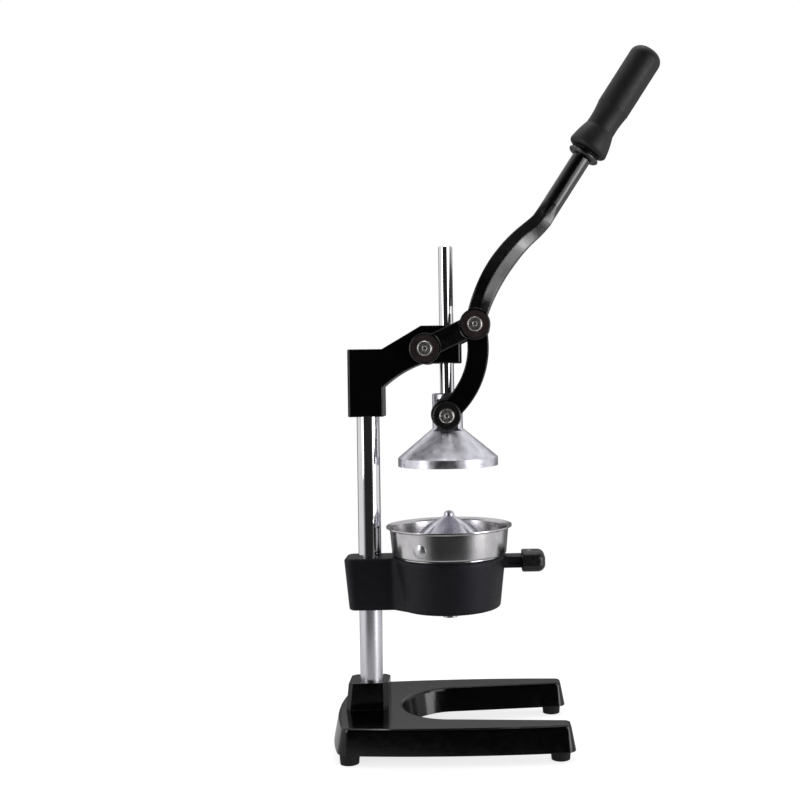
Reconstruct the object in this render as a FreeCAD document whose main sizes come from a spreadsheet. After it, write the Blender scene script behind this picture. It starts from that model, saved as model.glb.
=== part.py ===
import FreeCAD, Part
import math
import os
import Sketcher

# Lever-operated bench citrus press.
# X runs from the column towards the lever's grip, Y from the near side to the far side, Z up from the floor.

# Driving dimensions, in millimetres and degrees
DIMENSIONS = {
    # Places of the main axes
    "column_back": 115.5,           # the part's origin to the column's axis
    "press_reach": 70,              # column axis to press axis
    "running_gap": 0.3,             # between flat faces that pass each other
    "pin_gap": 0.05,                # radial play of a pin in its bore
    # Base casting: a horseshoe with a drafted skirt
    "foot_height": 8.5,
    "base_height": 21.2,
    "base_draft": 3.5,              # how far the skirt's bottom edge stands out
    "rear_reach": 28,               # column axis to the middle of the rear edge
    "rear_bow": 8.5,                  # sagitta of the rear edge
    "rear_half": 62,                # half width of the rear edge between its rounded corners
    "rear_round": 9,
    "leg_ahead": 100.5,             # press axis to the leg tips
    "leg_half_out": 71,
    "leg_half_in": 53.5,
    "side_lean": 5,                 # end tangents of the bowed outer sides
    "leg_round": 5,
    "notch_ahead": 3,               # press axis to the centre of the notch's round end
    "notch_radius": 45.5,
    "deck_round": 2.5,
    "base_deck": 6.5,               # plate left above the underside pockets
    "pocket_wall": 7,
    "leg_pocket_start": 42,
    "leg_pocket_half": 53,          # nearest edge of a leg's pocket at its rear end
    "pedestal_height": 22.3,
    "pedestal_back": 18.9,          # column axis to the block's rear and front faces, at the top
    "pedestal_front": 15.5,
    "pedestal_top_wide": 31,
    "pedestal_flare": 2.4,          # how far the block's foot stands out at the rear and the sides
    "pedestal_front_flare": 0.4,
    "pedestal_bevel": 4,
    # Rubber feet
    "foot_d": 17,
    "foot_taper": 0.7,
    "foot_inset": 9,                # leg tips back to the front feet's axes
    "foot_rear": 12.5,
    "foot_half": 62,
    "foot_well_d": 10,
    "foot_well": 4.5,
    "foot_screw_d": 4,
    "foot_screw_head_d": 8,
    "foot_screw_head": 2.6,
    "foot_screw_bite": 10,
    # Column and its bolt
    "column_d": 20,
    "column_socket": 12,            # depth of the column in the base, below the deck
    "column_grip": 50,              # depth of the column in the head
    "column_boss_d": 34,
    "column_bolt_d": 10,
    "column_bolt_bite": 20,
    "column_bolt_flats": 17,
    "column_bolt_head": 4.4,
    "column_washer_d": 22,
    "column_washer": 1.6,
    "bolt_recess": 6.5,             # spot face under the base for the column's bolt
    "set_screw_d": 8,
    "set_screw_socket": 4,
    # Head bracket
    "head_bottom": 283,
    "head_over": 0.2,               # how far the head's faces stand out past the links
    "head_rear": 15.8,
    "head_front": 14.5,
    "head_tall": 58.8,
    "head_slope_start": 14.3,
    "slope_back": 3.7,              # lever pivot back to the slope's upper end
    "nose_over": 20.1,              # above the lever pivot
    "nose_under": 12.8,             # below the lever pivot
    "nose_wall": 13,                # press axis to the nose's front face
    "throat_rise": 25.5,            # head's underside up to the throat's rear end
    "throat_back": 3,               # lever pivot back to the throat's front end
    "throat_radius": 95,
    "head_round": 3,
    "head_edge": 1.2,
    "edge_round": 2,
    "bush_wall": 1.7,
    "head_screw_drop": 30,          # set screw below the head's top
    # Press rod, neck and cone
    "rod_d": 12.5,
    "rod_over": 149,                # this and the next levels are from the press pivot
    "rod_under": 7.5,
    "rod_bevel": 1,
    "neck_d": 26.8,
    "neck_over": 19.5,
    "neck_flat": 19,                # across the two recesses for the links' eyes
    "recess_over": 14.5,            # press pivot up to a recess's level edge
    "recess_back": 2,               # press axis back to a recess's leaning edge, at the neck's top
    "recess_lean": 4,
    "neck_under": 11.4,
    "cone_d": 88,
    "cone_drop": 44,
    "cone_band": 7,
    "cone_shoulder": 1.2,
    "cone_wall": 5.4,               # measured straight down
    "cone_rim_wall": 2.6,
    "ledge_drop": 13.4,             # cut flat on both sides of the neck, under the links' eyes
    "cavity_drop": 18,
    "cavity_top_d": 18,
    "cone_ribs": 8,
    "cone_rib": 2.4,
    "cone_rib_rise": 2,
    # Pivots
    "pivot_d": 8,
    "press_pin_d": 6,               # shank of the press pivot's screw
    "screw_head_d": 14,
    "screw_head": 3.6,
    "screw_face_d": 11.4,           # flat round the socket
    "screw_dome": 0.33,             # swell of the head's flank
    "socket_flats": 3.5,
    "socket_deep": 2.2,
    "disc_d": 24.8,
    "disc": 1.5,
    "nut_flats": 13,
    "nut": 6.5,
    "lever_pivot_back": 18,         # press axis back to the lever pivot
    "lever_pivot_rise": 58.5,       # above the head's underside
    "arm_length": 47.9,
    "arm_angle": 25.1,
    "press_pivot_drop": 58.5,       # below the lever pivot
    # Links
    "link_thick": 7.2,
    "link_wide": 18.6,
    "link_bow": 12.8,
    "link_eye_d": 24,
    "link_fillet": 6,               # where the bar meets its eyes
    "eye_back": 2,                  # the open pivot's eye stands back from the pin at rest
    "eye_up": 1.2,
    "slot_back": 6.7,               # room for the pin in the open pivot's eye, towards the column
    "slot_front": 2.2,
    "slot_play": 1.6,
    # Lever
    "cheek": 6.8,
    "ridge_rise": 2.4,
    "lever_eye_d": 27,
    "arm_wide": 18,
    "crotch_reach": 24,
    "bar_start_angle": 77.5,
    "bar_bend": 149.9,
    "bar_turn": 39.7,
    "bar_bend_up": 30,
    "bar_turn_up": 18.9,
    "bar_straight": 65.1,
    "bar_rounding": 16,             # run over which the ridged bar turns round above its upper bend
    "bar_wide_low": 17.4,
    "bar_wide_mid": 19.6,
    "bar_wide_high": 17.2,
    "bar_thick": 17.2,
    "bar_ridge_rise": 4.2,
    "spigot_d": 14,
    "spigot_tip": 12,               # grip's end to the spigot's end
    # Grip and its collar
    "collar_d": 28.6,
    "collar": 4.2,
    "collar_gap": 2.4,
    "collar_ease": 1.4,
    "grip_length": 105,
    "grip_d": 29.6,
    "grip_flare_d": 36,
    "grip_flare": 7,
    "grip_waist_d": 27,
    "grip_waist": 22,
    "grip_swell": 88,               # radius of the curves above and below the waist
    "grip_end_round": 9,
    # Bowl holder
    "holder_bottom": 115,
    "holder_tall": 45,
    "holder_d": 99,
    "holder_taper": 5,
    "holder_bore": 88,
    "holder_rear": 21.6,
    "holder_rear_taper": 4.2,
    "holder_side_taper": 1.05,
    "holder_shoulder_taper": 2.1,
    "holder_half": 17,
    "holder_shoulder": 32,
    "holder_shoulder_reach": 32,
    "holder_round": 2,
    "holder_corner": 7,
    "holder_screw_rise": 23,        # above the holder's underside
    "notch_play": 0.6,
    # Juice bowl
    "sheet": 1.2,
    "bowl_play": 0.8,
    "bowl_flange_d": 95,
    "bowl_wall_drop": 30,           # below the holder's top
    "bowl_wall_taper": 2,
    "spout_d": 13,
    "spout_rise": 3,                # above the holder's underside
    "spout_hang": 9.5,              # below the holder's underside
    # Bowl handle
    "tang_drop": 10.9,              # below the holder's top
    "tang_tall": 9.6,
    "tang_wide": 20,
    "tang_end": 76,                 # from the press axis
    "tang_groove": 1.2,
    "tang_groove_tall": 3,
    "cap_start": 63.5,
    "cap_end": 84,
    "cap_tall": 17.6,
    "cap_wide": 28,
    "cap_round": 6.5,
    "cap_lip_round": 1.5,
    "rivet_d": 4,
    "rivet_place": 70,
    # Strainer cup and reamer
    "strainer_rise": 26.4,          # above the holder's top
    "strainer_rim_d": 110.6,
    "strainer_lip": 2.6,
    "strainer_d": 104.4,
    "strainer_bottom_d": 100.6,
    "strainer_round": 2,
    "strainer_hole_d": 3.2,
    "strainer_ring_in": 78,
    "strainer_ring_out": 87,
    "strainer_holes_in": 36,
    "strainer_holes_out": 40,
    "reamer_d": 71,
    "reamer_rise": 39,              # above the holder's top
    "reamer_brim": 2.5,
    "reamer_swell": 3,
    "reamer_tip_d": 9,
    "reamer_tip_round": 3.6,
    "reamer_tip_flat_d": 2.25,
    "reamer_ribs": 10,
    "reamer_rib": 3,
    "reamer_rib_rise": 2.2,
    "reamer_rib_end_d": 18,
    "reamer_screw_d": 5,
    "reamer_screw_bite": 12,
    "reamer_screw_head_d": 9,
    "reamer_screw_head": 2.8,
}

FULL_TURN = 360
ALIGNED = 0.9                       # share of a straight edge's length that lies along an axis
TOOL_MARGIN = 1                     # how far a cutting solid passes what it cuts
TURN_LEFT = 1
TURN_RIGHT = -1


class Size:
    """A size that keeps its number together with the sheet expression that it comes from."""

    def __init__(self, value, text):
        self.value = value
        self.text = text

    def __add__(self, other):
        return Size(self.value + number(other), "(%s + %s)" % (self.text, written(other)))

    def __radd__(self, other):
        return Size(other + self.value, "(%s + %s)" % (other, self.text))

    def __sub__(self, other):
        return Size(self.value - number(other), "(%s - %s)" % (self.text, written(other)))

    def __rsub__(self, other):
        return Size(other - self.value, "(%s - %s)" % (other, self.text))

    def __mul__(self, other):
        return Size(self.value * number(other), "(%s * %s)" % (self.text, written(other)))

    def __rmul__(self, other):
        return Size(other * self.value, "(%s * %s)" % (other, self.text))

    def __truediv__(self, other):
        return Size(self.value / number(other), "(%s / %s)" % (self.text, written(other)))

    def __neg__(self):
        return Size(-self.value, "(-1 * %s)" % self.text)


def number(size):
    return size.value if isinstance(size, Size) else size


def written(size):
    return size.text if isinstance(size, Size) else repr(size)


def root(size):
    return Size(math.sqrt(size.value), "sqrt(%s)" % size.text)


def sine(angle):
    return Size(math.sin(math.radians(angle.value)), "sin(%s)" % angle.text)


def cosine(angle):
    return Size(math.cos(math.radians(angle.value)), "cos(%s)" % angle.text)


def arc_tangent(ratio):
    return Size(math.degrees(math.atan(ratio.value)), "(atan(%s) / 1 deg)" % ratio.text)


def bow_radius(half_chord, bow):
    """Radius of an arc from half its chord and its sagitta."""
    return (half_chord * half_chord + bow * bow) / (2 * bow)


class Sizes:
    """The driving dimensions as attributes."""


doc = FreeCAD.newDocument("citrus_press")
sheet = doc.addObject("Spreadsheet::Sheet", "Dims")
dim = Sizes()
for row, (alias, value) in enumerate(DIMENSIONS.items(), start=1):
    sheet.set("A%d" % row, alias)
    sheet.set("B%d" % row, str(value))
    sheet.setAlias("B%d" % row, alias)
    setattr(dim, alias, Size(value, "Dims." + alias))
doc.recompute()

# Levels and reaches that follow from the driving dimensions
dim.leg_reach = dim.press_reach + dim.leg_ahead
dim.notch_reach = dim.press_reach + dim.notch_ahead
dim.foot_front = dim.leg_reach - dim.foot_inset
dim.lever_pivot_reach = dim.press_reach - dim.lever_pivot_back
dim.lever_pivot_height = dim.head_bottom + dim.lever_pivot_rise
dim.press_pivot_height = dim.lever_pivot_height - dim.press_pivot_drop
dim.head_top = dim.head_bottom + dim.head_tall
dim.head_thick = dim.neck_flat + 2 * (dim.running_gap + dim.link_thick + dim.head_over)
dim.head_slope_end = dim.lever_pivot_reach - dim.slope_back
dim.nose_top = dim.lever_pivot_height + dim.nose_over
dim.nose_bottom = dim.lever_pivot_height - dim.nose_under
dim.throat_start = dim.head_bottom + dim.throat_rise
dim.throat_end = dim.lever_pivot_reach - dim.throat_back
dim.rod_top = dim.press_pivot_height + dim.rod_over
dim.rod_bottom = dim.press_pivot_height - dim.rod_under
dim.neck_top = dim.press_pivot_height + dim.neck_over
dim.neck_foot = dim.press_pivot_height - dim.neck_under
dim.cone_rim = dim.press_pivot_height - dim.cone_drop
dim.cone_ledge = dim.press_pivot_height - dim.ledge_drop
dim.cavity_top = dim.press_pivot_height - dim.cavity_drop
dim.holder_top = dim.holder_bottom + dim.holder_tall
dim.holder_screw_height = dim.holder_bottom + dim.holder_screw_rise
dim.bowl_wall_bottom = dim.holder_top - dim.bowl_wall_drop
dim.spout_top = dim.holder_bottom + dim.spout_rise
dim.spout_tip = dim.holder_bottom - dim.spout_hang
dim.tang_bottom = dim.holder_top - dim.tang_drop
dim.strainer_rim = dim.holder_top + dim.strainer_rise
dim.reamer_tip = dim.holder_top + dim.reamer_rise

nodes = []


# Helpers that draw and build

def bind(thing, path, size):
    """Tie a property to a size of the sheet, or set it where it is a plain number."""
    thing.setExpression(path, written(size))


def place(thing, x=0, y=0, z=0, turn=None):
    """Put a piece at a point given from the column's axis on the floor."""
    if turn is not None:
        thing.Placement = FreeCAD.Placement(FreeCAD.Vector(), turn)
    bind(thing, "Placement.Base.x", x - dim.column_back)
    bind(thing, "Placement.Base.y", y)
    bind(thing, "Placement.Base.z", z)


def new_body(label, x=0, y=0, z=0, turn=None, node=True):
    body = doc.addObject("PartDesign::Body", label)
    body.Label = label
    place(body, x, y, z, turn)
    if node:
        nodes.append(body)
    return body


def sketch_on(body, role, lift=None):
    plane = [f for f in body.Origin.OriginFeatures if f.Role == role][0]
    sketch = body.newObject("Sketcher::SketchObject", body.Name + "_sketch")
    sketch.AttachmentSupport = [(plane, "")]
    sketch.MapMode = "FlatFace"
    if lift is not None:
        bind(sketch, "AttachmentOffset.Base.z", lift)
    return sketch


def pin_point(sketch, edge, end, x, y):
    """Tie one point of an edge to its two coordinates."""
    for kind, coordinate, axis in (("DistanceX", x, -2), ("DistanceY", y, -1)):
        if number(coordinate) == 0:
            sketch.addConstraint(Sketcher.Constraint("PointOnObject", edge, end, axis))
            continue
        rule = Sketcher.Constraint(kind, -1, 1, edge, end, float(number(coordinate)))
        index = sketch.addConstraint(rule)
        bind(sketch, "Constraints[%d]" % index, coordinate)


def edge_between(start, finish):
    """A straight edge, or an arc where the first corner carries a radius and a turn."""
    p = FreeCAD.Vector(number(start[0]), number(start[1]), 0)
    q = FreeCAD.Vector(number(finish[0]), number(finish[1]), 0)
    if len(start) == 2:
        return Part.LineSegment(p, q)
    radius, turn = number(start[2]), start[3]
    chord = q - p
    half = chord.Length / 2
    sagitta = radius - math.sqrt(radius * radius - half * half)
    outwards = FreeCAD.Vector(chord.y, -chord.x, 0).normalize() * (turn * sagitta)
    return Part.Arc(p, (p + q) * 0.5 + outwards, q)


def end_at(sketch, edge, corner):
    """Which end of an edge lies at a corner."""
    point = FreeCAD.Vector(number(corner[0]), number(corner[1]), 0)
    return min((1, 2), key=lambda end: sketch.getPoint(edge, end).distanceToPoint(point))


def outline(sketch, corners):
    """A closed outline: each corner is (x, y), or (x, y, radius, turn) before an arc to the next."""
    edges = []
    for i, corner in enumerate(corners):
        edges.append(sketch.addGeometry(edge_between(corner, corners[(i + 1) % len(corners)])))
    for i, corner in enumerate(corners):
        before, after = edges[i - 1], edges[i]
        first, second = end_at(sketch, before, corner), end_at(sketch, after, corner)
        sketch.addConstraint(Sketcher.Constraint("Coincident", before, first, after, second))
        pin_point(sketch, after, second, corner[0], corner[1])
        if len(corner) > 2:
            rule = Sketcher.Constraint("Radius", after, float(number(corner[2])))
            bind(sketch, "Constraints[%d]" % sketch.addConstraint(rule), corner[2])
    return sketch


def ring(sketch, x, y, radius):
    centre = FreeCAD.Vector(number(x), number(y), 0)
    circle = sketch.addGeometry(Part.Circle(centre, FreeCAD.Vector(0, 0, 1), number(radius)))
    pin_point(sketch, circle, 3, x, y)
    rule = Sketcher.Constraint("Radius", circle, float(number(radius)))
    bind(sketch, "Constraints[%d]" % sketch.addConstraint(rule), radius)
    return sketch


def hexagon(sketch, flats):
    """A hexagon about the sketch's origin, given across its flats."""
    corner = flats / math.sqrt(3)
    half = corner / 2
    side = flats / 2
    return outline(sketch, [(corner, 0), (half, side), (-half, side),
                            (-corner, 0), (-half, -side), (half, -side)])


def feature(body, kind, sketch):
    made = body.newObject("PartDesign::" + kind, body.Name + "_" + kind.lower())
    made.Profile = sketch
    return made


def pad(body, sketch, length, middle=False, back=False):
    made = feature(body, "Pad", sketch)
    bind(made, "Length", length)
    made.SideType = "Symmetric" if middle else "One side"
    made.Reversed = back
    return made


def cut(body, sketch, length=None, back=False):
    """A pocket: right through both ways, or to a depth on one side."""
    doc.recompute()
    before = body.Shape.Volume
    made = feature(body, "Pocket", sketch)
    if length is None:
        made.Type = "ThroughAll"
        made.SideType = "Symmetric"
    else:
        bind(made, "Length", length)
        made.Reversed = back
    doc.recompute()
    if not body.Shape.Volume < before:
        raise RuntimeError(body.Label + ": a pocket misses the solid")
    return made


def turn_about(body, sketch, kind="Revolution"):
    made = feature(body, kind, sketch)
    made.ReferenceAxis = (sketch, ["V_Axis"])
    made.Angle = FULL_TURN
    return made


def loft(body, sketches, kind="AdditiveLoft"):
    made = feature(body, kind, sketches[0])
    made.Sections = sketches[1:]
    made.Ruled = True
    return made


def around(body, original, count):
    made = body.newObject("PartDesign::PolarPattern", body.Name + "_pattern")
    made.Originals = [original]
    made.Axis = ([f for f in body.Origin.OriginFeatures if f.Role == "Z_Axis"][0], [""])
    made.Angle = FULL_TURN
    bind(made, "Occurrences", count)
    body.Tip = made
    return made


def soften(body, radius, wanted, kind="Fillet"):
    """Round or bevel the edges of the body so far that a test picks."""
    doc.recompute()
    base = body.Tip
    names = ["Edge%d" % (i + 1) for i, edge in enumerate(base.Shape.Edges) if wanted(edge)]
    made = body.newObject("PartDesign::" + kind, body.Name + "_" + kind.lower())
    made.Base = (base, names)
    bind(made, "Radius" if kind == "Fillet" else "Size", radius)
    doc.recompute()
    return made


def runs_along(edge, axis):
    """Is the edge straight and parallel to an axis, to within its draft?"""
    run = edge.Vertexes[-1].Point - edge.Vertexes[0].Point
    straight = abs(edge.Length - run.Length) < HAIR
    return straight and abs(run.dot(axis)) > ALIGNED * run.Length > 0


ALONG_Y = FreeCAD.Vector(0, 1, 0)
ALONG_Z = FreeCAD.Vector(0, 0, 1)
FACE_NEAR = FreeCAD.Rotation(FreeCAD.Vector(1, 0, 0), 90)
FACE_FAR = FreeCAD.Rotation(FreeCAD.Vector(1, 0, 0), -90)
FACE_REAR = FreeCAD.Rotation(FreeCAD.Vector(0, 1, 0), -90)
HAIR = 0.01
ROUND_SHARE = 1 - math.sqrt(0.5)    # how far the middle of a quarter round stands in from its corner


def at_level(edge, level):
    return all(abs(v.Point.z - number(level)) < HAIR for v in edge.Vertexes)


def turned(label, corners, x=0, y=0, z=0, turn=None, node=True):
    """A piece turned about its own Z axis from a half section of (radius, height) corners."""
    body = new_body(label, x, y, z, turn, node)
    turn_about(body, outline(sketch_on(body, "XZ_Plane"), corners))
    return body


def group(label, bodies):
    """Identical pieces that share one node."""
    made = doc.addObject("Part::Compound", label)
    made.Label = label
    made.Links = bodies
    nodes.append(made)
    return made


# Places shared by several pieces

skirt_bottom = dim.foot_height
deck = skirt_bottom + dim.base_height
pedestal_top = deck + dim.pedestal_height
column_foot = deck - dim.column_socket
column_radius = dim.column_d / 2
rod_radius = dim.rod_d / 2
pin_radius = dim.pivot_d / 2
pin_bore = pin_radius + dim.pin_gap
press_pin = dim.press_pin_d / 2
press_bore = press_pin + dim.pin_gap
disc_radius = dim.disc_d / 2
head_half = dim.head_thick / 2
neck_half = dim.neck_flat / 2
link_inner = neck_half + dim.running_gap
link_outer = link_inner + dim.link_thick
cheek_inner = head_half + dim.running_gap
cheek_outer = cheek_inner + dim.cheek
press_disc_inner = link_outer + dim.running_gap
knuckle_reach = dim.lever_pivot_reach + dim.arm_length * cosine(dim.arm_angle)
knuckle_height = dim.lever_pivot_height + dim.arm_length * sine(dim.arm_angle)
bowl_flange_top = dim.holder_top + dim.sheet
strainer_floor = bowl_flange_top + dim.sheet


# Stand: base, feet, column

def base_outline(sketch, grow):
    """The horseshoe, with its outside moved out and its notch drawn in by the same amount."""
    rear_corner = -dim.rear_reach + dim.rear_bow - grow
    rear_half = dim.rear_half
    corner = dim.rear_round + grow
    # the rear corners turn from the rear edge's end tangent to the sides' end tangent
    swing = 90 - 2 * arc_tangent(dim.rear_bow / rear_half) - dim.side_lean
    chord = 2 * corner * sine(swing / 2)
    heading = swing / 2 + dim.side_lean
    side_start = rear_corner + chord * cosine(heading)
    side_half = rear_half + chord * sine(heading)
    tip = dim.leg_reach + grow
    tip_out = dim.leg_half_out + grow
    tip_in = dim.leg_half_in - grow
    nib = dim.leg_round + grow
    notch = dim.notch_radius - grow
    rear_radius = bow_radius(rear_half, dim.rear_bow)
    side_radius = (tip - nib - side_start) / 2 / sine(dim.side_lean)
    return outline(sketch, [
        (rear_corner, -rear_half, corner, TURN_LEFT),
        (side_start, -side_half, side_radius, TURN_LEFT),
        (tip - nib, -tip_out, nib, TURN_LEFT),
        (tip, nib - tip_out),
        (tip, -tip_in - nib, nib, TURN_LEFT),
        (tip - nib, -tip_in),
        (dim.notch_reach, -notch, notch, TURN_RIGHT),
        (dim.notch_reach - notch, 0, notch, TURN_RIGHT),
        (dim.notch_reach, notch),
        (tip - nib, tip_in, nib, TURN_LEFT),
        (tip, tip_in + nib),
        (tip, tip_out - nib, nib, TURN_LEFT),
        (tip - nib, tip_out, side_radius, TURN_LEFT),
        (side_start, side_half, corner, TURN_LEFT),
        (rear_corner, rear_half, rear_radius, TURN_LEFT),
    ])


def block_outline(sketch, back, front, half, bevel):
    """A rectangle with bevelled corners round the column's axis."""
    return outline(sketch, [
        (front, bevel - half), (front, half - bevel), (front - bevel, half), (bevel - back, half),
        (-back, half - bevel), (-back, bevel - half), (bevel - back, -half), (front - bevel, -half),
    ])


def make_base():
    body = new_body("base")
    edge = dim.deck_round
    levels = [(skirt_bottom, dim.base_draft), (deck - edge, 0),
              (deck - edge * ROUND_SHARE, -(edge * ROUND_SHARE)), (deck, -edge)]
    loft(body, [base_outline(sketch_on(body, "XY_Plane", level), grow) for level, grow in levels])
    half = dim.pedestal_top_wide / 2
    foot = block_outline(sketch_on(body, "XY_Plane", deck - dim.deck_round),
                         dim.pedestal_back + dim.pedestal_flare,
                         dim.pedestal_front + dim.pedestal_front_flare,
                         half + dim.pedestal_flare, dim.pedestal_bevel)
    crown = block_outline(sketch_on(body, "XY_Plane", pedestal_top),
                          dim.pedestal_back, dim.pedestal_front, half, dim.pedestal_bevel)
    loft(body, [foot, crown])
    soften(body, dim.edge_round / 2, lambda e: at_level(e, pedestal_top))
    hollow = dim.base_height - dim.base_deck
    pocket_end = dim.foot_front - dim.foot_d
    pocket_in = dim.leg_half_in + dim.pocket_wall
    pocket_out = dim.leg_half_out - dim.pocket_wall
    under = sketch_on(body, "XY_Plane", skirt_bottom)
    for side in (1, -1):
        outline(under, [
            (dim.leg_pocket_start, side * dim.leg_pocket_half),
            (pocket_end, side * (pocket_in - dim.edge_round)),
            (pocket_end, side * pocket_out),
            (dim.leg_pocket_start, side * (pocket_out + dim.edge_round)),
        ])
    cut(body, under, hollow, back=True)
    cut(body, ring(sketch_on(body, "XY_Plane", pedestal_top), 0, 0, column_radius),
        pedestal_top - column_foot)
    cut(body, ring(sketch_on(body, "XY_Plane", column_foot), 0, 0, dim.column_bolt_d / 2 + dim.pin_gap),
        column_foot)
    cut(body, ring(sketch_on(body, "XY_Plane", skirt_bottom), 0, 0, dim.column_boss_d / 2),
        dim.bolt_recess, back=True)
    tapped = sketch_on(body, "XY_Plane", skirt_bottom)
    for reach, half in foot_places():
        ring(tapped, reach, half, dim.foot_screw_d / 2)
    cut(body, tapped, dim.foot_screw_bite, back=True)


def foot_places():
    return [(reach, side * dim.foot_half) for reach in (dim.foot_front, -dim.foot_rear) for side in (-1, 1)]


def make_feet():
    well = dim.foot_well_d / 2
    bore = dim.foot_screw_d / 2 + dim.pin_gap
    screw = dim.foot_screw_d / 2
    head = dim.foot_screw_head_d / 2
    seat = dim.foot_well
    names = ("front_near", "front_far", "rear_near", "rear_far")
    screws = []
    for name, (reach, half) in zip(names, foot_places()):
        turned("foot_" + name, [
            (well, 0), (dim.foot_d / 2 - dim.foot_taper, 0), (dim.foot_d / 2, dim.foot_height),
            (bore, dim.foot_height), (bore, seat), (well, seat),
        ], reach, half)
        screws.append(turned("screw_" + name, [
            (0, seat - dim.foot_screw_head), (head, seat - dim.foot_screw_head), (head, seat),
            (screw, seat), (screw, skirt_bottom + dim.foot_screw_bite),
            (0, skirt_bottom + dim.foot_screw_bite),
        ], reach, half, node=False))
    group("foot_screws", screws)


def make_column():
    bolt = dim.column_bolt_d / 2
    bite = column_foot + dim.column_bolt_bite + dim.running_gap
    top = dim.head_bottom + dim.column_grip
    turned("column", [
        (bolt, column_foot), (column_radius, column_foot), (column_radius, top), (0, top),
        (0, bite), (bolt, bite),
    ])
    seat = skirt_bottom + dim.bolt_recess
    under = seat - dim.column_washer
    body = new_body("column_bolt")
    pad(body, hexagon(sketch_on(body, "XY_Plane", under), dim.column_bolt_flats),
        dim.column_bolt_head, back=True)
    pad(body, ring(sketch_on(body, "XY_Plane", under), 0, 0, bolt),
        column_foot + dim.column_bolt_bite - under)
    turned("column_washer", [
        (bolt + dim.pin_gap, under), (dim.column_washer_d / 2, under),
        (dim.column_washer_d / 2, seat), (bolt + dim.pin_gap, seat),
    ])


def make_set_screw(label, length, x, z):
    """A socket set screw that clamps a casting to the column from the rear."""
    body = turned(label, [
        (0, 0), (dim.set_screw_d / 2, 0), (dim.set_screw_d / 2, length), (0, length),
    ], x, 0, z, FACE_REAR)
    cut(body, hexagon(sketch_on(body, "XY_Plane", length), dim.set_screw_socket), length / 2)


# Head bracket with the guide for the press rod

def make_head():
    body = new_body("head_bracket")
    nose = dim.press_reach + dim.nose_wall
    side = outline(sketch_on(body, "XZ_Plane"), [
        (-dim.head_rear, dim.head_bottom),
        (dim.head_front, dim.head_bottom),
        (dim.head_front, dim.throat_start, dim.throat_radius, TURN_RIGHT),
        (dim.throat_end, dim.nose_bottom),
        (nose, dim.nose_bottom),
        (nose, dim.nose_top),
        (dim.head_slope_end, dim.nose_top),
        (dim.head_slope_start, dim.head_top),
        (-dim.head_rear, dim.head_top),
    ])
    pad(body, side, dim.head_thick, middle=True)
    ends = (-number(dim.head_rear), number(nose))
    soften(body, dim.head_round,
           lambda e: runs_along(e, ALONG_Z) and min(abs(e.CenterOfMass.x - x) for x in ends) < HAIR)
    soften(body, dim.head_edge,
           lambda e: abs(abs(e.CenterOfMass.y) - number(head_half)) < HAIR
           or runs_along(e, ALONG_Y) and e.CenterOfMass.z > number(dim.nose_bottom) + HAIR
           or at_level(e, dim.nose_top))
    bush_radius = rod_radius + dim.pin_gap + dim.bush_wall
    cut(body, ring(sketch_on(body, "XY_Plane", dim.head_bottom), 0, 0, column_radius),
        dim.column_grip, back=True)
    cut(body, ring(sketch_on(body, "XY_Plane", dim.nose_top), dim.press_reach, 0, bush_radius),
        dim.nose_top - dim.nose_bottom)
    cut(body, ring(sketch_on(body, "XZ_Plane"), dim.lever_pivot_reach, dim.lever_pivot_height, pin_bore))
    screw_height = dim.head_top - dim.head_screw_drop
    cut(body, ring(sketch_on(body, "YZ_Plane", -column_radius), 0, screw_height, dim.set_screw_d / 2),
        dim.head_rear - column_radius)
    make_set_screw("head_set_screw", dim.head_rear - column_radius, -column_radius, screw_height)
    turned("rod_bush", [
        (rod_radius + dim.pin_gap, dim.nose_bottom), (bush_radius, dim.nose_bottom),
        (bush_radius, dim.nose_top), (rod_radius + dim.pin_gap, dim.nose_top),
    ], dim.press_reach)


# Press: rod and cone

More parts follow.
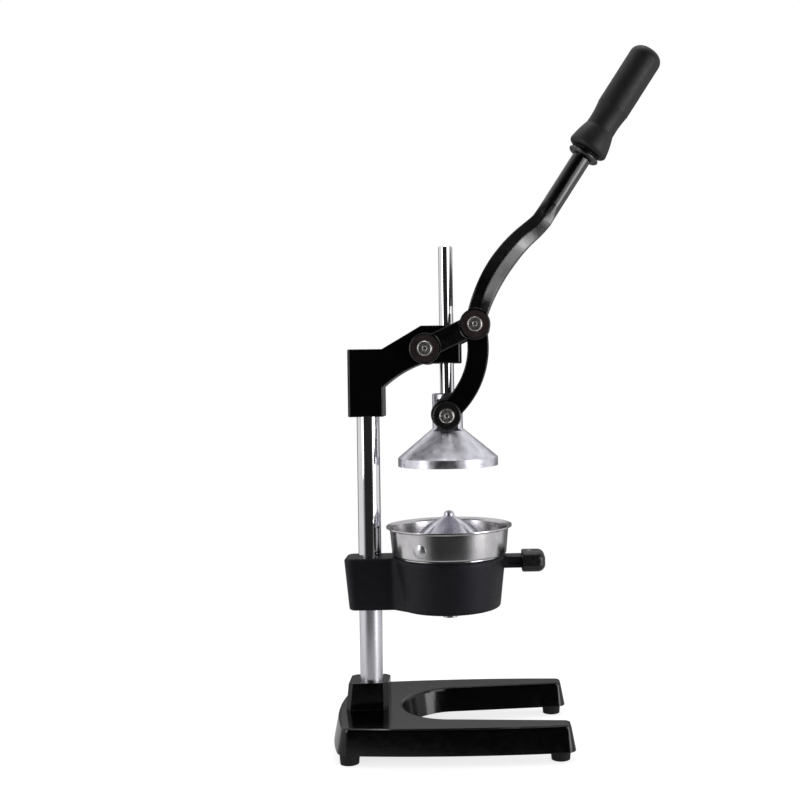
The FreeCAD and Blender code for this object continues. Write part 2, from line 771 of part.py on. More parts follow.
def make_press():
    rod = turned("press_rod", [
        (0, dim.rod_bottom), (rod_radius, dim.rod_bottom), (rod_radius, dim.rod_top - dim.rod_bevel),
        (rod_radius - dim.rod_bevel, dim.rod_top), (0, dim.rod_top),
    ], dim.press_reach)
    cut(rod, ring(sketch_on(rod, "XZ_Plane"), 0, dim.press_pivot_height, press_bore))

    body = new_body("press_cone", dim.press_reach)
    rim = dim.cone_d / 2
    band_top = dim.cone_rim + dim.cone_band
    neck = dim.neck_d / 2
    fall = (dim.neck_foot - band_top - dim.cone_shoulder) / (rim - dim.cone_shoulder - neck)
    crown = dim.neck_foot + fall * (neck - neck_half)
    inner = rim - dim.cone_rim_wall
    cavity = dim.cavity_top_d / 2
    inner_start = dim.neck_foot - dim.cone_wall - fall * (inner - neck)
    turn_about(body, outline(sketch_on(body, "XZ_Plane"), [
        (0, dim.cavity_top), (cavity, dim.cavity_top), (inner, inner_start), (inner, dim.cone_rim),
        (rim, dim.cone_rim), (rim, band_top), (rim - dim.cone_shoulder, band_top + dim.cone_shoulder),
        (neck_half, crown), (0, crown),
    ]))
    ledge = sketch_on(body, "XY_Plane", crown)
    for side in (1, -1):
        outline(ledge, [(-neck, side * neck_half), (neck, side * neck_half),
                        (neck, side * rim), (-neck, side * rim)])
    cut(body, ledge, crown - dim.cone_ledge)
    neck_start = dim.cavity_top + dim.cone_shoulder
    pad(body, ring(sketch_on(body, "XY_Plane", neck_start), 0, 0, neck), dim.neck_top - neck_start)
    soften(body, dim.rod_bevel, lambda e: at_level(e, dim.neck_top), "Chamfer")
    recess_top = dim.press_pivot_height + dim.recess_over
    above = dim.neck_top + TOOL_MARGIN
    past = neck + TOOL_MARGIN
    for lift, back in ((neck_half, True), (-neck_half, False)):
        cut(body, outline(sketch_on(body, "XZ_Plane", lift), [
            (-past, dim.cone_ledge), (past, dim.cone_ledge), (past, above), (-dim.recess_back, above),
            (-dim.recess_back - dim.recess_lean, recess_top), (-past, recess_top),
        ]), neck, back)
    inner_fall = (dim.cavity_top - inner_start) / (inner - cavity)
    rib = pad(body, outline(sketch_on(body, "XZ_Plane"), [
        (cavity, dim.cavity_top + dim.cone_rib_rise),
        (cavity, dim.cavity_top - dim.cone_rib_rise),
        (inner - dim.cone_rib_rise / inner_fall, inner_start),
        (inner, inner_start), (inner, inner_start + dim.cone_rib_rise),
    ]), dim.cone_rib, middle=True)
    around(body, rib, dim.cone_ribs)
    cut(body, ring(sketch_on(body, "XY_Plane", dim.neck_top), 0, 0, rod_radius),
        dim.neck_top - dim.rod_bottom)
    cut(body, ring(sketch_on(body, "XZ_Plane"), 0, dim.press_pivot_height, press_bore))


# Pivots: button-head screws, discs and nuts

def make_screw(label, x, z, shank, seat, tip, turn, node=True):
    """A button-head socket screw: its head sits outside the seat and its shank runs in to the tip."""
    head = dim.screw_head_d / 2
    crown = seat + dim.screw_head
    flat = dim.screw_face_d / 2
    dome = bow_radius(root((head - flat) * (head - flat) + dim.screw_head * dim.screw_head) / 2,
                      dim.screw_dome)
    body = turned(label, [
        (0, tip), (shank, tip), (shank, seat), (head, seat, dome, TURN_LEFT),
        (flat, crown), (0, crown),
    ], x, 0, z, turn, node)
    cut(body, hexagon(sketch_on(body, "XY_Plane", crown), dim.socket_flats), dim.socket_deep)
    return body


def make_discs(label, x, z, bore, inner):
    """The two discs under a pivot's fastenings, one on each side."""
    discs = []
    for side, turn in (("near", FACE_NEAR), ("far", FACE_FAR)):
        discs.append(turned(label + "_" + side, [
            (bore, inner), (disc_radius, inner), (disc_radius, inner + dim.disc),
            (bore, inner + dim.disc),
        ], x, 0, z, turn, node=False))
    group(label, discs)


def make_nut(label, x, z, bore, seat):
    body = new_body(label, x, 0, z, FACE_FAR)
    pad(body, hexagon(sketch_on(body, "XY_Plane", seat), dim.nut_flats), dim.nut)
    cut(body, ring(sketch_on(body, "XY_Plane", seat), 0, 0, bore), dim.nut, back=True)


def make_pivots():
    lever_seat = cheek_outer + dim.disc
    lever_pivot = (dim.lever_pivot_reach, dim.lever_pivot_height)
    make_screw("lever_pivot_screw", *lever_pivot, pin_radius, lever_seat, -(lever_seat + dim.nut), FACE_NEAR)
    make_discs("lever_pivot_discs", *lever_pivot, pin_bore, cheek_outer)
    make_nut("lever_pivot_nut", *lever_pivot, pin_radius, lever_seat)
    knuckle = (knuckle_reach, knuckle_height)
    knuckles = []
    for side, turn in (("near", FACE_NEAR), ("far", FACE_FAR)):
        knuckles.append(make_screw("knuckle_" + side, *knuckle, pin_radius, lever_seat, link_inner, turn,
                                   node=False))
    group("knuckle_screws", knuckles)
    make_discs("knuckle_discs", *knuckle, pin_bore, cheek_outer)
    press_seat = press_disc_inner + dim.disc
    press_pivot = (dim.press_reach, dim.press_pivot_height)
    make_screw("press_pivot_screw", *press_pivot, press_pin, press_seat, -(press_seat + dim.nut), FACE_NEAR)
    make_discs("press_pivot_discs", *press_pivot, press_bore, press_disc_inner)
    make_nut("press_pivot_nut", *press_pivot, press_pin, press_seat)


# Links: two bowed bars from the lever's knuckle to the press

def make_links():
    eye_x = dim.press_reach - dim.eye_back
    eye_z = dim.press_pivot_height + dim.eye_up
    run_x, run_z = knuckle_reach - eye_x, knuckle_height - eye_z
    length = root(run_x * run_x + run_z * run_z)
    along_x, along_z = run_x / length, run_z / length
    radius = bow_radius(length / 2, dim.link_bow)
    half = dim.link_wide / 2
    # the end sections lie along the radii of the bowed centre line
    lean = (radius - dim.link_bow) / radius
    rise = length / 2 / radius
    end_x = half * (lean * along_z + rise * along_x)
    end_z = half * (rise * along_z - lean * along_x)
    foot_x = half * (lean * along_z - rise * along_x)
    foot_z = half * (-(rise * along_z) - lean * along_x)
    pin_end = dim.pin_gap + dim.running_gap
    slot_radius = press_pin + dim.slot_play
    slot_in = dim.slot_back + pin_end - dim.slot_play
    slot_out = dim.slot_front + pin_end - dim.slot_play
    for name, start in (("near", link_inner), ("far", -link_outer)):
        body = new_body("link_" + name)
        bar = outline(sketch_on(body, "XZ_Plane", start), [
            (eye_x + foot_x, eye_z + foot_z, radius + half, TURN_LEFT),
            (knuckle_reach + end_x, knuckle_height + end_z),
            (knuckle_reach - end_x, knuckle_height - end_z, radius - half, TURN_RIGHT),
            (eye_x - foot_x, eye_z - foot_z),
        ])
        pad(body, bar, dim.link_thick)
        for x, z in ((eye_x, eye_z), (knuckle_reach, knuckle_height)):
            pad(body, ring(sketch_on(body, "XZ_Plane", start), x, z, dim.link_eye_d / 2), dim.link_thick)
        doc.recompute()
        seams = [e for f in body.Shape.Faces for e in f.Edges if e.isSeam(f)]
        soften(body, dim.link_fillet,
               lambda e: runs_along(e, ALONG_Y) and not any(e.isSame(seam) for seam in seams))
        outer = number(link_outer)
        soften(body, dim.edge_round / 2, lambda e: abs(abs(e.CenterOfMass.y) - outer) < HAIR, "Chamfer")
        cut(body, ring(sketch_on(body, "XZ_Plane", start), knuckle_reach, knuckle_height, pin_bore))
        slot = outline(sketch_on(body, "XZ_Plane", start), [
            (eye_x - slot_in, eye_z - slot_radius),
            (eye_x + slot_out, eye_z - slot_radius, slot_radius, TURN_LEFT),
            (eye_x + slot_out + slot_radius, eye_z, slot_radius, TURN_LEFT),
            (eye_x + slot_out, eye_z + slot_radius),
            (eye_x - slot_in, eye_z + slot_radius, slot_radius, TURN_LEFT),
            (eye_x - slot_in - slot_radius, eye_z, slot_radius, TURN_LEFT),
        ])
        cut(body, slot)


# Lever: a forked bar with a ridge along each side, its grip and collar

BAR_STATIONS = 7
WIDEST_SHARE = 0.6                  # where along the lower bend the bar is widest


class Path:
    """A point that walks along arcs and straights in the lever's plane."""

    def __init__(self, x, z, heading):
        self.x, self.z, self.heading = x, z, math.radians(heading)
        self.walked = 0

    def straight(self, length):
        self.x += length * math.cos(self.heading)
        self.z += length * math.sin(self.heading)
        self.walked += length

    def bend(self, radius, degrees):
        """Walk an arc; positive degrees turn upwards."""
        angle = math.radians(degrees)
        chord = 2 * radius * math.sin(abs(angle) / 2)
        self.x += chord * math.cos(self.heading + angle / 2)
        self.z += chord * math.sin(self.heading + angle / 2)
        self.heading += angle
        self.walked += radius * abs(angle)

    def point(self, across=0, along=0, y=0):
        """A point beside the path: across to the right of the way it runs, and along it."""
        c, s = math.cos(self.heading), math.sin(self.heading)
        return FreeCAD.Vector(self.x + across * s + along * c, y, self.z - across * c + along * s)


def ridge_corners(path, wide, thick, rise):
    """Corners of a six-sided section across the path, with a ridge on the near and far side."""
    edge = thick / 2 - rise
    return [
        path.point(-wide / 2, y=edge), path.point(0, y=thick / 2), path.point(wide / 2, y=edge),
        path.point(wide / 2, y=-edge), path.point(0, y=-thick / 2), path.point(-wide / 2, y=-edge),
    ]


def ridged_section(path, wide, thick, rise):
    corners = ridge_corners(path, wide, thick, rise)
    return Part.makePolygon(corners + corners[:1])


def round_section(path, wide, thick, rise):
    """A round section across the path, in six arcs that face the sides of the ridged one."""
    middle = path.point()

    def on_round(towards):
        return middle + towards.normalize() * (wide / 2)

    corners = ridge_corners(path, wide, thick, rise)
    arcs = []
    for start, finish in zip(corners, corners[1:] + corners[:1]):
        halfway = (start + finish) / 2
        arcs.append(Part.Arc(on_round(start - middle), on_round(halfway - middle),
                             on_round(finish - middle)).toShape())
    return Part.Wire(arcs)


def ease(share):
    """Smooth step from nought to one."""
    share = min(max(share, 0), 1)
    return share * share * (3 - 2 * share)


def bar_path():
    return Path(number(knuckle_reach), number(knuckle_height), number(dim.bar_start_angle))


def bar_sections(path):
    """Sections of the bent run, and then of the run where the ridged bar turns round.

    The fork narrows to the bar along the lower bend.
    """
    fork = 2 * number(cheek_outer + dim.ridge_rise)
    bend = number(dim.bar_bend) * math.radians(number(dim.bar_turn))
    crotch = number(dim.crotch_reach)
    belly = bend * WIDEST_SHARE

    def section():
        share = ease((path.walked - crotch) / (bend - crotch))
        thick = fork + (number(dim.bar_thick) - fork) * share
        rise = number(dim.ridge_rise) + (number(dim.bar_ridge_rise) - number(dim.ridge_rise)) * share
        low, mid, high = number(dim.bar_wide_low), number(dim.bar_wide_mid), number(dim.bar_wide_high)
        wide = low + (mid - low) * ease(path.walked / belly)
        wide += (high - mid) * ease((path.walked - belly) / belly)
        return ridged_section(path, wide, thick, rise)

    sections = [section()]
    for _ in range(BAR_STATIONS):
        path.bend(number(dim.bar_bend), -number(dim.bar_turn) / BAR_STATIONS)
        sections.append(section())
    path.bend(number(dim.bar_bend_up), number(dim.bar_turn_up))
    sections.append(section())
    rounding = [section()]
    path.straight(number(dim.bar_rounding))
    rounding.append(round_section(path, number(dim.bar_wide_high), number(dim.bar_thick),
                                  number(dim.bar_ridge_rise)))
    return sections, rounding


def pin_solid(x, z, radius, half):
    """A round bar along Y, centred on the lever's plane."""
    return Part.makeCylinder(radius, 2 * half, FreeCAD.Vector(x, -half, z), ALONG_Y)


def grip_start():
    """The path at the lower face of the collar, where the bar's straight run ends."""
    path = bar_path()
    path.bend(number(dim.bar_bend), -number(dim.bar_turn))
    path.bend(number(dim.bar_bend_up), number(dim.bar_turn_up))
    path.straight(number(dim.bar_straight))
    return path


def make_lever():
    pivot = (number(dim.lever_pivot_reach), number(dim.lever_pivot_height))
    knuckle = (number(knuckle_reach), number(knuckle_height))
    fork = number(cheek_outer + dim.ridge_rise)
    path = bar_path()
    bent, rounding = bar_sections(path)
    bar = Part.makeLoft(bent, True, False).fuse(Part.makeLoft(rounding, True, True))
    start = grip_start()
    axis = start.point(0, 1) - start.point()
    round_run = number(dim.bar_straight - dim.bar_rounding)
    bar = bar.fuse(Part.makeCylinder(number(dim.bar_wide_high) / 2, round_run, path.point(), axis))
    arm_path = Path(pivot[0], pivot[1], number(dim.arm_angle))
    arm_ends = []
    for run in (0, number(dim.arm_length)):
        arm_path.straight(run)
        arm_ends.append(ridged_section(arm_path, number(dim.arm_wide), 2 * fork, number(dim.ridge_rise)))
    arm = Part.makeLoft(arm_ends, True, True)
    eye = number(dim.lever_eye_d) / 2
    eyes = [pin_solid(x, z, eye, number(cheek_outer)) for x, z in (pivot, knuckle)]
    reach = number(dim.collar + dim.collar_gap + dim.grip_length - dim.spigot_tip)
    spigot = Part.makeCylinder(number(dim.spigot_d) / 2, reach, start.point(), axis)
    solid = bar.fuse([arm, spigot] + eyes)
    # spot faces for the discs, the gap of the fork, and the two pin bores
    for x, z in (pivot, knuckle):
        face = pin_solid(x, z, eye, fork + HAIR).cut(pin_solid(x, z, eye + TOOL_MARGIN, number(cheek_outer)))
        solid = solid.cut(face)
    crotch = bar_path()
    crotch.bend(number(dim.bar_bend), -math.degrees(number(dim.crotch_reach) / number(dim.bar_bend)))
    span = number(dim.arm_length) * 2
    gap_corners = [crotch.point(span), crotch.point(-span),
                   crotch.point(-span, -2 * span), crotch.point(span, -2 * span)]
    gap_face = Part.Face(Part.makePolygon(gap_corners + gap_corners[:1]))
    half = number(cheek_inner)
    gap_face.translate(FreeCAD.Vector(0, -half, 0))
    solid = solid.cut(gap_face.extrude(FreeCAD.Vector(0, 2 * half, 0)))
    for x, z in (pivot, knuckle):
        solid = solid.cut(pin_solid(x, z, number(pin_bore), fork))
    lever = doc.addObject("Part::Feature", "lever")
    lever.Label = "lever"
    lever.Shape = solid.removeSplitter()
    lever.Placement = FreeCAD.Placement(FreeCAD.Vector(-number(dim.column_back), 0, 0), FreeCAD.Rotation())
    nodes.append(lever)


def make_grip():
    start = grip_start()
    lean = FreeCAD.Rotation(ALONG_Y, 90 - math.degrees(start.heading))
    spigot = dim.spigot_d / 2
    ease_edge = dim.collar_ease

    def along_bar(body):
        body.Placement = FreeCAD.Placement(start.point(0, 0) - FreeCAD.Vector(number(dim.column_back)), lean)

    collar = new_body("grip_collar")
    collar_sketch = outline(sketch_on(collar, "XZ_Plane"), [
        (spigot, 0), (dim.collar_d / 2 - ease_edge, 0), (dim.collar_d / 2, ease_edge),
        (dim.collar_d / 2, dim.collar - ease_edge), (dim.collar_d / 2 - ease_edge, dim.collar),
        (spigot, dim.collar),
    ])
    turn_about(collar, collar_sketch)
    grip = new_body("lever_grip")
    foot = dim.collar + dim.collar_gap
    top = foot + dim.grip_length
    end_round = dim.grip_end_round
    bore_end = top - dim.spigot_tip + dim.running_gap
    flare = dim.grip_flare_d / 2
    waist = dim.grip_waist_d / 2
    body_radius = dim.grip_d / 2
    lip = dim.grip_flare / 2
    grip_sketch = outline(sketch_on(grip, "XZ_Plane"), [
        (spigot, dim.collar),
        (spigot + dim.collar_gap, dim.collar),
        (spigot + dim.collar_gap, foot),
        (flare - lip, foot, lip, TURN_LEFT),
        (flare, foot + lip, dim.grip_swell, TURN_LEFT),
        (waist, foot + dim.grip_waist, dim.grip_swell, TURN_RIGHT),
        (body_radius, foot + 2 * dim.grip_waist),
        (body_radius, top - end_round, end_round, TURN_LEFT),
        (body_radius - end_round, top),
        (0, top), (0, bore_end), (spigot, bore_end),
    ])
    turn_about(grip, grip_sketch)
    for body in (collar, grip):
        for axis in ("x", "y", "z"):
            body.setExpression("Placement.Base." + axis, None)
        along_bar(body)


# Bowl holder, juice bowl with its handle, strainer and reamer

def make_holder():
    body = new_body("bowl_holder", dim.press_reach)
    tall = dim.holder_top - dim.holder_bottom
    sections = []
    for level, drawn in ((dim.holder_bottom, 1), (dim.holder_top, 0)):
        rear = dim.press_reach + dim.holder_rear - drawn * dim.holder_rear_taper
        half = dim.holder_half - drawn * dim.holder_side_taper
        shoulder = dim.holder_shoulder - drawn * dim.holder_shoulder_taper
        corner = dim.holder_corner
        sections.append(outline(sketch_on(body, "XY_Plane", level), [
            (-rear, corner - half, corner, TURN_LEFT), (corner - rear, -half),
            (-dim.press_reach + dim.holder_rear, -half),
            (-dim.holder_shoulder_reach, -shoulder), (0, -shoulder),
            (0, shoulder), (-dim.holder_shoulder_reach, shoulder),
            (-dim.press_reach + dim.holder_rear, half),
            (corner - rear, half, corner, TURN_LEFT), (-rear, half - corner),
        ]))
    loft(body, sections)
    top = dim.holder_d / 2
    bottom = top - dim.holder_taper
    turn_about(body, outline(sketch_on(body, "XZ_Plane"), [
        (0, dim.holder_bottom), (bottom, dim.holder_bottom), (top, dim.holder_top), (0, dim.holder_top),
    ]))
    soften(body, dim.holder_round,
           lambda e: at_level(e, dim.holder_top) or at_level(e, dim.holder_bottom))
    bore = dim.holder_bore / 2
    bore_foot = bore - dim.holder_taper
    turn_about(body, outline(sketch_on(body, "XZ_Plane"), [
        (0, dim.holder_bottom), (bore_foot, dim.holder_bottom), (bore, dim.holder_top),
        (0, dim.holder_top),
    ]), "Groove")
    cut(body, ring(sketch_on(body, "XY_Plane", dim.holder_top), -dim.press_reach, 0, column_radius), tall)
    notch = sketch_on(body, "YZ_Plane", bore_foot)
    half = dim.tang_wide / 2 + dim.notch_play
    outline(notch, [
        (-half, dim.tang_bottom - dim.notch_play), (half, dim.tang_bottom - dim.notch_play),
        (half, dim.holder_top), (-half, dim.holder_top),
    ])
    cut(body, notch, top, back=True)
    screw = dim.holder_rear - dim.holder_rear_taper - column_radius
    cut(body, ring(sketch_on(body, "YZ_Plane", -dim.press_reach - column_radius), 0,
                   dim.holder_screw_height, dim.set_screw_d / 2), dim.holder_rear)
    make_set_screw("holder_set_screw", screw, -column_radius, dim.holder_screw_height)


def bowl_wall_radius():
    return dim.holder_bore / 2 - dim.bowl_play


def make_bowl():
    top = dim.holder_top
    wall = bowl_wall_radius()
    foot = wall - dim.bowl_wall_taper - dim.holder_taper / 2
    spout = dim.spout_d / 2
    skin = dim.sheet
    turned("juice_bowl", [
        (spout - skin, dim.spout_top - skin), (spout, dim.spout_top - skin),
        (foot, dim.bowl_wall_bottom), (wall, top), (dim.bowl_flange_d / 2, top),
        (dim.bowl_flange_d / 2, top + skin), (wall - skin, top + skin),
        (foot - skin, dim.bowl_wall_bottom + skin), (spout - skin, dim.spout_top),
    ], dim.press_reach)
    turned("bowl_spout", [
        (spout - skin, dim.spout_tip), (spout, dim.spout_tip),
        (spout, dim.spout_top - skin), (spout - skin, dim.spout_top - skin),
    ], dim.press_reach)
    tang_top = dim.tang_bottom + dim.tang_tall
    middle = dim.tang_bottom + dim.tang_tall / 2
    half = dim.tang_wide / 2
    tang = new_body("bowl_handle_tang", dim.press_reach)
    start = root(wall * wall - half * half)
    pad(tang, outline(sketch_on(tang, "XY_Plane", dim.tang_bottom), [
        (start, -half), (dim.tang_end, -half), (dim.tang_end, half),
        (start, half, wall, TURN_RIGHT), ]), dim.tang_tall)
    grooves = sketch_on(tang, "YZ_Plane", dim.holder_d / 2)
    for side in (1, -1):
        outline(grooves, [
            (side * half, middle - dim.tang_groove_tall / 2),
            (side * half, middle + dim.tang_groove_tall / 2),
            (side * (half - dim.tang_groove), middle + dim.tang_groove_tall / 2),
            (side * (half - dim.tang_groove), middle - dim.tang_groove_tall / 2),
        ])
    cut(tang, grooves, dim.tang_end - dim.holder_d / 2, back=True)
    cap = new_body("bowl_handle_cap", dim.press_reach)
    low = middle - dim.cap_tall / 2
    cap_half = dim.cap_wide / 2
    pad(cap, outline(sketch_on(cap, "XY_Plane", low), [
        (dim.cap_start, -cap_half), (dim.cap_end, -cap_half), (dim.cap_end, cap_half),
        (dim.cap_start, cap_half)]), dim.cap_tall)
    start_x = number(dim.cap_start)
    soften(cap, dim.cap_round, lambda e: max(v.Point.x for v in e.Vertexes) > start_x + HAIR)
    soften(cap, dim.cap_lip_round, lambda e: max(v.Point.x for v in e.Vertexes) < start_x + HAIR)
    cut(cap, outline(sketch_on(cap, "YZ_Plane", dim.cap_start), [
        (-half, dim.tang_bottom), (half, dim.tang_bottom), (half, tang_top), (-half, tang_top)]),
        dim.tang_end - dim.cap_start, back=True)
    rivet = dim.rivet_d / 2
    for body in (tang, cap):
        cut(body, ring(sketch_on(body, "XY_Plane", middle), dim.rivet_place, 0, rivet))
    turned("handle_rivet", [(0, low), (rivet, low), (rivet, low + dim.cap_tall), (0, low + dim.cap_tall)],
           dim.press_reach + dim.rivet_place)


def make_strainer():
    bottom = bowl_flange_top
    skin = dim.sheet
    foot = dim.strainer_bottom_d / 2
    wall = dim.strainer_d / 2
    rim = dim.strainer_rim_d / 2
    lip = dim.strainer_rim - dim.strainer_lip
    bend = dim.strainer_round
    body = turned("strainer_cup", [
        (0, bottom), (foot - bend, bottom, bend, TURN_LEFT), (foot, bottom + bend),
        (wall, lip), (rim, dim.strainer_rim - skin), (rim, dim.strainer_rim),
        (wall - skin / 2, lip + skin), (wall - skin, lip), (foot - skin, bottom + bend),
        (foot - bend, bottom + skin), (0, bottom + skin),
    ], dim.press_reach)
    for across, count in ((dim.strainer_ring_in, dim.strainer_holes_in),
                          (dim.strainer_ring_out, dim.strainer_holes_out)):
        hole = cut(body, ring(sketch_on(body, "XY_Plane", bottom + skin), across / 2, 0,
                              dim.strainer_hole_d / 2), skin)
        around(body, hole, count)
    screw = dim.reamer_screw_d / 2
    cut(body, ring(sketch_on(body, "XY_Plane", bottom + skin), 0, 0, screw + dim.pin_gap), skin)

    reamer = new_body("reamer", dim.press_reach)
    brim = strainer_floor + dim.reamer_brim
    edge = dim.reamer_d / 2
    tip = dim.reamer_tip_d / 2
    run, climb = edge - tip, dim.reamer_tip - tip - brim
    flank = bow_radius(root(run * run + climb * climb) / 2, dim.reamer_swell)
    turn_about(reamer, outline(sketch_on(reamer, "XZ_Plane"), [
        (0, strainer_floor), (edge, strainer_floor), (edge, brim, flank, TURN_LEFT),
        (tip, dim.reamer_tip - tip, dim.reamer_tip_round, TURN_LEFT),
        (dim.reamer_tip_flat_d / 2, dim.reamer_tip), (0, dim.reamer_tip),
    ]))
    # each rib swells out of the flank between the brim and a little below the tip
    rib_foot, rib_end = edge - dim.reamer_brim / 2, dim.reamer_rib_end_d / 2
    rib_run, rib_climb = rib_foot - rib_end, climb * (edge - rib_end) / run
    rib_bow = bow_radius(root(rib_run * rib_run + rib_climb * rib_climb) / 2,
                         dim.reamer_swell + dim.reamer_rib_rise)
    rib = pad(reamer, outline(sketch_on(reamer, "XZ_Plane"), [
        (rib_end, brim), (rib_foot, brim, rib_bow, TURN_LEFT), (rib_end, brim + rib_climb),
    ]), dim.reamer_rib, middle=True)
    around(reamer, rib, dim.reamer_ribs)
    cut(reamer, ring(sketch_on(reamer, "XY_Plane", strainer_floor), 0, 0, screw),
        dim.reamer_screw_bite, back=True)
    head = dim.reamer_screw_head_d / 2
    turned("reamer_screw", [
        (0, bottom - dim.reamer_screw_head), (head, bottom - dim.reamer_screw_head), (head, bottom),
        (screw, bottom), (screw, strainer_floor + dim.reamer_screw_bite),
        (0, strainer_floor + dim.reamer_screw_bite),
    ], dim.press_reach)


def check_and_write():
    doc.recompute()
    failed = [o.Label for o in doc.Objects if "Invalid" in o.State or "Error" in o.State]
    failed += [o.Label for o in nodes if o.Shape.isNull() or not o.Shape.isValid()]
    if failed:
        raise RuntimeError("failed objects: " + ", ".join(failed))
    os.makedirs("parts", exist_ok=True)
    box = FreeCAD.BoundBox()
    for node in nodes:
        node.Shape.exportStep("parts/%s.step" % node.Label)
        box.add(node.Shape.BoundBox)
        print(node.Label, len(node.Shape.Solids), "solids, volume", round(node.Shape.Volume))
    print("box", [round(v, 2) for v in (box.XMin, box.YMin, box.ZMin, box.XMax, box.YMax, box.ZMax)])


make_base()
make_feet()
make_column()
make_head()
make_press()
make_pivots()
make_links()
make_lever()
make_grip()
make_holder()
make_bowl()
make_strainer()
check_and_write()
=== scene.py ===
import math

import bmesh
import bpy
from mathutils import Matrix, Vector


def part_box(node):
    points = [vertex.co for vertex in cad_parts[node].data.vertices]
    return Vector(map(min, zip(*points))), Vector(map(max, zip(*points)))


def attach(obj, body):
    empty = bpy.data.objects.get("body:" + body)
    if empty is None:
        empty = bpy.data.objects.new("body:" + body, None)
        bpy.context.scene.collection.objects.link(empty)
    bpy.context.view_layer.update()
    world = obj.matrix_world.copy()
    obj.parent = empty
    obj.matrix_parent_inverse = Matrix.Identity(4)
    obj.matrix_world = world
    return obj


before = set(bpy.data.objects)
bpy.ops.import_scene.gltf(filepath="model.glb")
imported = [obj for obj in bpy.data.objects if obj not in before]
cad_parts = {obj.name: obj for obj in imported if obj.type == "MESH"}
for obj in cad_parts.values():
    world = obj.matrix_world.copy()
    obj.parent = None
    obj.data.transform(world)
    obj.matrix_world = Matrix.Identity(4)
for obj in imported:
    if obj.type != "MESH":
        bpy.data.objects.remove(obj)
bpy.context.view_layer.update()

MM = 0.001
WHITE = (1, 1, 1, 1)
ACROSS_UPRIGHT = (1, 1, 0)          # directions square to an upright axis
ACROSS_PIVOT = (1, 0, 1)            # directions square to a pivot
QUARTER_TURN = 0.25
NOISE_LOW = 0.3                     # most of a noise lies between these two
NOISE_HIGH = 0.7
BEVEL_SAMPLES = 6


def middle(node):
    """The middle of a node's box at rest."""
    low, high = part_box(node)
    return (low + high) / 2


PRESS_AXIS = middle("press_cone")   # the press, the reamer and the cups share its upright axis


# Nodes and finishes


class Nodes:
    """Short ways to add nodes to a material or to the surround."""

    def __init__(self, tree):
        self.tree = tree

    def node(self, kind, **settings):
        made = self.tree.nodes.new(kind)
        for name, value in settings.items():
            setattr(made, name, value)
        return made

    def join(self, source, target):
        self.tree.links.new(source, target)

    def calculate(self, operation, first, second):
        """Works with two values, each a number or the output of a node."""
        made = self.node("ShaderNodeMath", operation=operation)
        for socket, value in zip(made.inputs, (first, second)):
            if isinstance(value, (int, float)):
                socket.default_value = value
            else:
                self.join(value, socket)
        return made.outputs[0]

    def ramp(self, source, start, end, low=0, high=1, kind="SMOOTHSTEP"):
        """A value that goes from low to high as the source goes from start to end."""
        made = self.node("ShaderNodeMapRange", interpolation_type=kind)
        made.inputs["From Min"].default_value = start
        made.inputs["From Max"].default_value = end
        made.inputs["To Min"].default_value = low
        made.inputs["To Max"].default_value = high
        self.join(source, made.inputs["Value"])
        return made.outputs[0]


